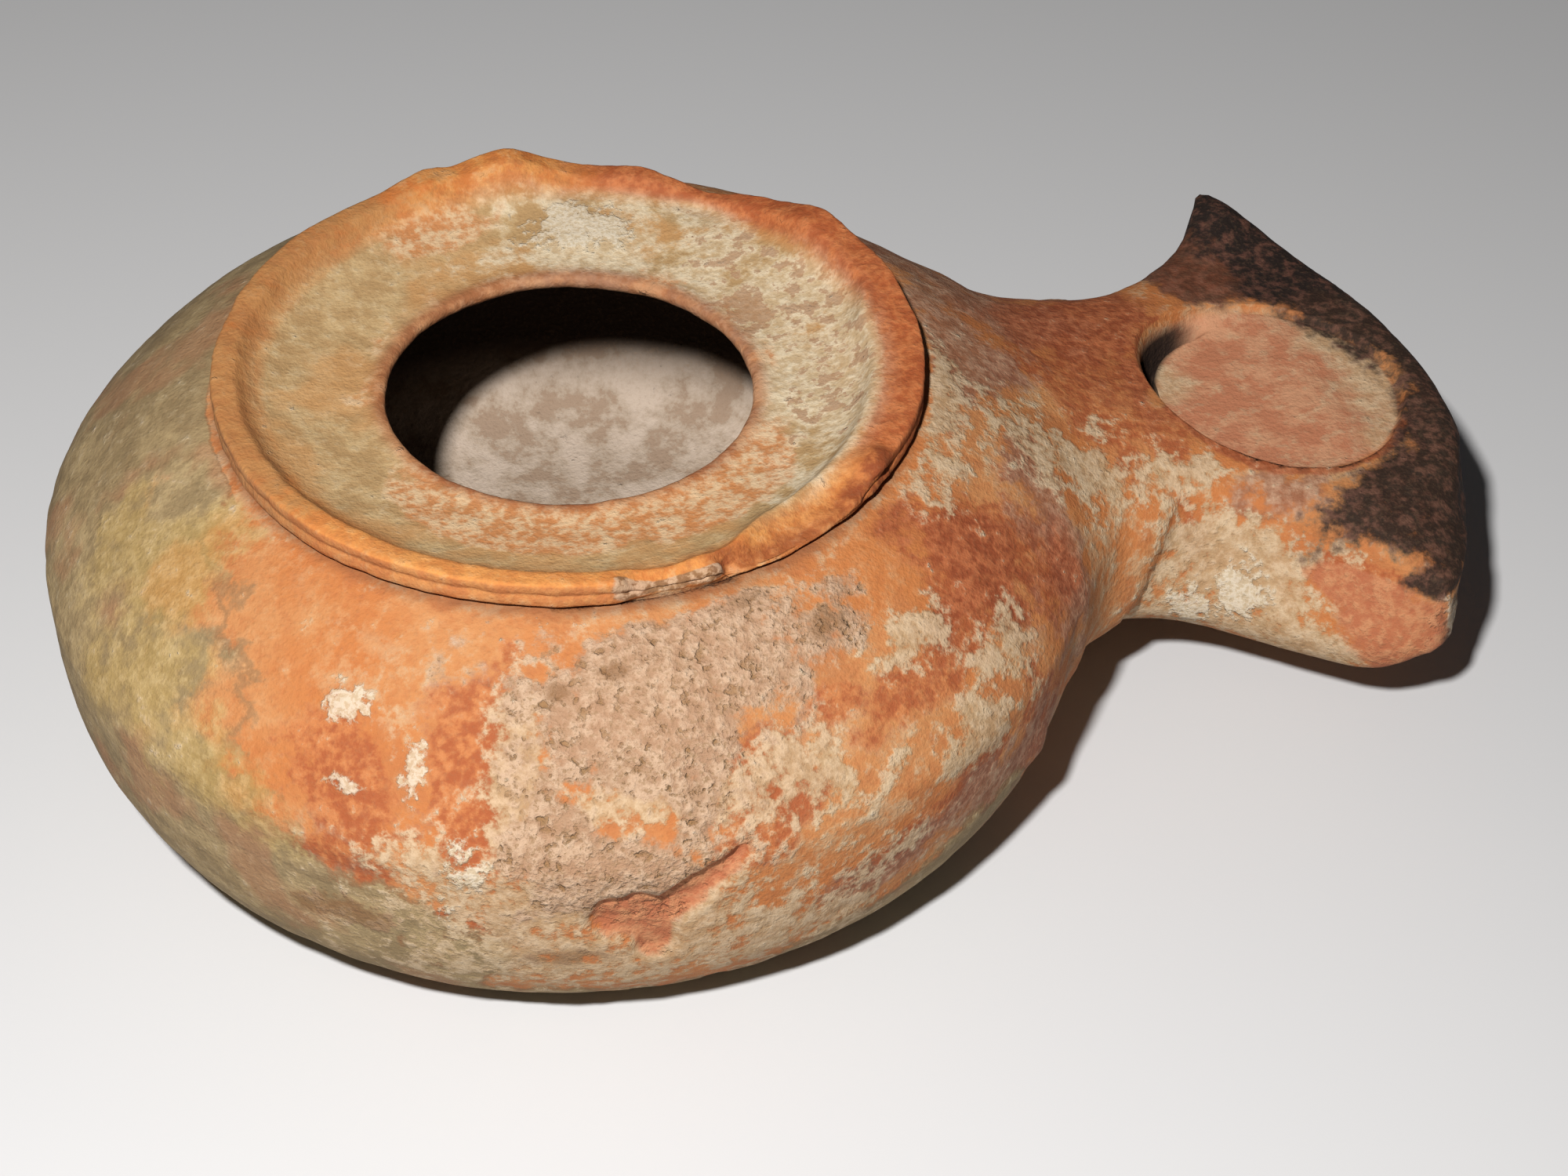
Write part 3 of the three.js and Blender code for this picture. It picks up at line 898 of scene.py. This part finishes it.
iron_cover = laid("iron", 2.2, 0.12)
iron_colour = two_tone((0.44, 0.110, 0.038), (0.66, 0.235, 0.080))
colour = blend(iron_cover * 0.9, colour, iron_colour)

grey_cover = laid("grey", 2.6, 0.18)
grey_colour = two_tone((0.32, 0.13, 0.075), (0.56, 0.32, 0.21))
colour = blend(grey_cover * 0.8, colour, grey_colour)

# Red patches, with the painted shade line along the wick bowl's near edge.
red_and_edge_shade_colour = two_tone((0.33, 0.075, 0.028), (0.56, 0.165, 0.065))
colour = blend(laid("red_and_edge_shade", 2.2, 0.2) * 0.85, colour, red_and_edge_shade_colour)

khaki_cover = laid("khaki", 1.3, 0.12)
khaki_colour = two_tone((0.34, 0.255, 0.13), (0.54, 0.40, 0.205), torn, 0.42, 0.58)
streaks = lines * 0.6 + mottle * 0.4
khaki_colour = blend(step_up(streaks, 0.46, 0.58) * 0.45, khaki_colour, (0.235, 0.17, 0.09))
khaki_colour = blend(step_up(crumbly, 0.52, 0.64) * 0.45, khaki_colour, (0.62, 0.48, 0.29))
khaki_colour = blend(step_up(1 - broad, 0.50, 0.60) * 0.5, khaki_colour, (0.50, 0.23, 0.12))
colour = blend(khaki_cover * clean * 0.93, colour, khaki_colour)

khaki_edge = khaki_cover * (1 - khaki_cover) * 4
colour = blend(khaki_edge * 0.6, colour, (0.30, 0.17, 0.08))

ochre_cover = laid("ochre", 2.4, 0.24)
ochre_colour = two_tone((0.50, 0.33, 0.105), (0.66, 0.46, 0.19), crumbly, 0.43, 0.60)
colour = blend(ochre_cover * 0.62, colour, ochre_colour)

cream_cover = laid("cream", 4.2, 0.20, speckled)
cream_colour = two_tone((0.55, 0.37, 0.20), (0.76, 0.57, 0.37))
colour = blend(cream_cover * 0.84, colour, cream_colour)

crust_cover = laid("crust", 2.2, 0.14)
crust_colour = two_tone((0.49, 0.295, 0.18), (0.68, 0.46, 0.31))
colour = blend(crust_cover * 0.92, colour, crust_colour)

pitted = crust_cover + cream_cover * 0.35 + khaki_cover * 0.15
pit = step_up(1 - holes, 0.55, 0.68) * pitted
colour = blend(pit * 0.6, colour, (0.33, 0.165, 0.055))
peppered = step_up(1 - fine, 0.52, 0.64) * pitted
colour = blend(peppered * 0.5, colour, (0.34, 0.20, 0.095))

saucer_colour = two_tone((0.52, 0.33, 0.15), (0.66, 0.46, 0.23), torn, 0.42, 0.58)
saucer_colour = blend(step_up(crumbly, 0.50, 0.64) * 0.4, saucer_colour, (0.74, 0.58, 0.36))
saucer_colour = blend(step_up(1 - broad, 0.50, 0.60) * 0.5, saucer_colour, (0.70, 0.34, 0.12))
pale_colour = two_tone((0.66, 0.49, 0.29), (0.90, 0.76, 0.54), crumbly, 0.40, 0.58)
saucer_colour = blend(laid("pale_saucer", 1.9, 0.16) * 0.88, saucer_colour, pale_colour)
near_colour = two_tone((0.68, 0.26, 0.09), (0.86, 0.60, 0.36), crumbly, 0.42, 0.58)
saucer_colour = blend(laid("orange_saucer", 2.2, 0.2) * 0.8, saucer_colour, near_colour)
saucer_colour = blend(laid("dark_saucer", 2.0, 0.06, mottle) * 0.65, saucer_colour, (0.40, 0.18, 0.08))
colour = blend(skin_share("saucer") * 0.96, colour, saucer_colour)

lime_cover = laid("lime", 3.0, 0.14, crumbly)
lime_colour = two_tone((0.66, 0.53, 0.36), (0.88, 0.78, 0.62), fine, 0.40, 0.60)
colour = blend(lime_cover * 0.78, colour, lime_colour)

collar_colour = two_tone((0.66, 0.205, 0.048), (0.83, 0.345, 0.090), torn, 0.42, 0.58)
collar_colour = blend(step_up(crumbly, 0.52, 0.64) * 0.35, collar_colour, (0.82, 0.50, 0.25))
collar_colour = blend(step_up(1 - flecks, 0.54, 0.66) * 0.35, collar_colour, (0.42, 0.15, 0.05))
red_rim_colour = two_tone((0.44, 0.095, 0.030), (0.66, 0.19, 0.060))
collar_colour = blend(laid("red_rim", 1.4, 0.3) * 0.9, collar_colour, red_rim_colour)
collar_colour = blend(laid("dull_rim", 2.4, 0.3) * 0.65, collar_colour, (0.46, 0.225, 0.085))
# Painted highlight on the collar's upward-facing tops.
collar_colour = blend(skin_share("rim_highlight") * 0.35, collar_colour, (0.95, 0.42, 0.12))
# Painted shade on the collar's steep faces.
collar_colour = blend(skin_share("rim_face_shade") * 0.45, collar_colour, (0.50, 0.22, 0.10))
colour = blend(skin_share("collar") * 0.95, colour, collar_colour)
lip_colour = two_tone((0.36, 0.11, 0.042), (0.58, 0.24, 0.10), torn, 0.43, 0.58)
colour = blend(skin_share("lip") * 0.8, colour, lip_colour)
fracture_colour = two_tone((0.28, 0.062, 0.020), (0.62, 0.20, 0.058), torn, 0.43, 0.58)
colour = blend(skin_share("fracture") * 0.9, colour, fracture_colour)
rim_crust_colour = two_tone((0.19, 0.12, 0.07), (0.62, 0.45, 0.31), flecks, 0.43, 0.58)
colour = blend(laid("rim_crust", 1.6, 0.14) * 0.75, colour, rim_crust_colour)

scar_cover = laid("scar", 0.7, 0.07)
scar_colour = two_tone((0.54, 0.175, 0.080), (0.68, 0.29, 0.135))
colour = blend(scar_cover * 0.95, colour, scar_colour)
stain_cover = laid("stain", 2.0, 0.16, crumbly)
colour = blend(stain_cover * 0.65, colour, (0.26, 0.12, 0.045))
# Painted shade in the groove under the collar.
colour = blend(skin_share("groove_shade") * 0.7, colour, (0.24, 0.09, 0.04))

inside_colour = two_tone((0.55, 0.42, 0.31), (0.74, 0.59, 0.47), patchy, 0.40, 0.60)
inside_colour = blend(step_up(1 - patchy, 0.53, 0.60) * 0.5, inside_colour, (0.42, 0.26, 0.17))
# Painted shade: near black high inside the reservoir.
inside_colour = blend(skin_share("upper_inside_shade"), inside_colour, (0.050, 0.032, 0.022))
colour = blend(skin_share("inside"), colour, inside_colour)

bowl_colour = two_tone((0.62, 0.24, 0.125), (0.73, 0.36, 0.20), patchy, 0.42, 0.58)
bowl_colour = blend(step_up(mottle, 0.52, 0.64) * 0.35, bowl_colour, (0.76, 0.56, 0.34))
# Tan towards the bowl's tip, and a painted highlight at its back end.
tan_and_highlight_colour = two_tone((0.60, 0.39, 0.21), (0.76, 0.55, 0.34), crumbly, 0.42, 0.58)
bowl_colour = blend(laid("tan_and_highlight_bowl", 1.6, 0.4) * 0.85, bowl_colour, tan_and_highlight_colour)
colour = blend(skin_share("bowl"), colour, bowl_colour)
# Painted shade on the wick bowl's far-left wall by the channel.
colour = blend(skin_share("mouth_shade"), colour, (0.050, 0.028, 0.020))

brown_cover = laid("brown_tip", 2.2, 0.18)
brown_colour = two_tone((0.085, 0.030, 0.021), (0.225, 0.068, 0.041))
colour = blend(brown_cover * (1 - skin_share("bowl")) * 0.88, colour, brown_colour)
# Soot where the wick burned, with painted shade on the near fluke's front wall and lobe end.
soot_and_shade_cover = laid("soot_and_shade", 2.2, 0.2)
soot_and_shade_colour = two_tone((0.020, 0.014, 0.012), (0.16, 0.068, 0.046), crumbly, 0.46, 0.64)
colour = blend(soot_and_shade_cover * 0.96, colour, soot_and_shade_colour)
colour = blend(step_up(fine, 0.50, 0.68) * 0.15, colour, (0.30, 0.17, 0.09))
dulling = 0.38
colour = blend(dulling, colour, (0.0, 0.0, 0.0))

relief_mm = (fine - 0.5) * 0.08 + (flecks - 0.5) * 0.08 + (mottle - 0.5) * 0.07
relief_mm = relief_mm + (lines - 0.5) * 0.12 * khaki_cover + pit * -0.10 + lime_cover * 0.06
relief_mm = relief_mm + (flecks - 0.5) * 0.25 * crust_cover + cream_cover * 0.03
bumped = Wire.node("ShaderNodeBump", {}, {"Strength": 1.0, "Distance": MM, "Height": relief_mm})
finish = Wire.node("ShaderNodeBsdfPrincipled", {}, {
    "Base Color": colour, "Normal": bumped, "Roughness": 0.84 + (mottle - 0.5) * 0.3,
    "Specular IOR Level": 0.2,
})
Wire.node("ShaderNodeOutputMaterial", {}, {"Surface": finish})
clay_mesh.materials.clear()
clay_mesh.materials.append(fired_clay)

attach(lamp, "root")
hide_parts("lamp")


# ---------------------------------------------------------------------------------------------
# The floor: a sheet of matt white paper, flat under the lamp and wide enough to fill the view.
# ---------------------------------------------------------------------------------------------
floor_reach = 1.5
floor_corners = [(-floor_reach, -floor_reach, 0), (floor_reach, -floor_reach, 0),
                 (floor_reach, floor_reach, 0), (-floor_reach, floor_reach, 0)]
floor_mesh = bpy.data.meshes.new("floor")
floor_mesh.from_pydata(floor_corners, [], [(0, 1, 2, 3)])
floor = bpy.data.objects.new("floor", floor_mesh)
bpy.context.scene.collection.objects.link(floor)

paper = bpy.data.materials.new("white_paper")
paper.use_nodes = True
paper_finish = paper.node_tree.nodes["Principled BSDF"]
paper_finish.inputs["Base Color"].default_value = (0.55, 0.55, 0.56, 1.0)
paper_finish.inputs["Roughness"].default_value = 0.9
paper_finish.inputs["Specular IOR Level"].default_value = 0.2
floor_mesh.materials.append(paper)


# ---------------------------------------------------------------------------------------------
# Light and camera. One lamp stands a little left of the camera and above it, with a soft edge to
# its shadow, and a dim even light comes from all round. The camera looks down on the near side.
# ---------------------------------------------------------------------------------------------
camera_place = (-0.0374, -0.1643, 0.1544)
camera_aim = (0.1879, 0.5591, -0.4980)
camera_roll = 1.302
light_place = (-0.064, -0.144, 0.197)
light_aim = (0.0, 0.0, 0.01)


def look(position, target, roll=0.0):
    """The matrix that puts a camera or lamp at a place, looking at a target, its top up and then
    turned by the roll in degrees."""
    forward = (Vector(target) - Vector(position)).normalized()
    level = forward.cross(Vector((0, 0, 1))).normalized()
    up = level.cross(forward)
    turn = math.radians(roll)
    right = level * math.cos(turn) + up * math.sin(turn)
    high = up * math.cos(turn) - level * math.sin(turn)
    return Matrix.Translation(Vector(position)) @ Matrix((right, high, -forward)).transposed().to_4x4()


camera_data = bpy.data.cameras.new("camera")
camera_data.lens = 81
camera_data.sensor_width = 36
camera_data.clip_start = 0.01
camera = bpy.data.objects.new("camera", camera_data)
camera.matrix_world = look(camera_place, camera_aim, camera_roll)
bpy.context.scene.collection.objects.link(camera)
bpy.context.scene.camera = camera

light_data = bpy.data.lights.new("studio_lamp", "AREA")
light_data.shape = "DISK"
light_data.size = 0.013
light_data.energy = 0.98
light_data.color = (1.0, 0.985, 0.96)
light = bpy.data.objects.new("studio_lamp", light_data)
light.matrix_world = look(light_place, light_aim)
bpy.context.scene.collection.objects.link(light)

room = bpy.data.worlds.new("room")
room.use_nodes = True
room_light = room.node_tree.nodes["Background"]
room_light.inputs["Color"].default_value = (0.93, 0.96, 1.0, 1.0)
room_light.inputs["Strength"].default_value = 0.036
bpy.context.scene.world = room
bpy.context.scene.view_settings.view_transform = "Standard"
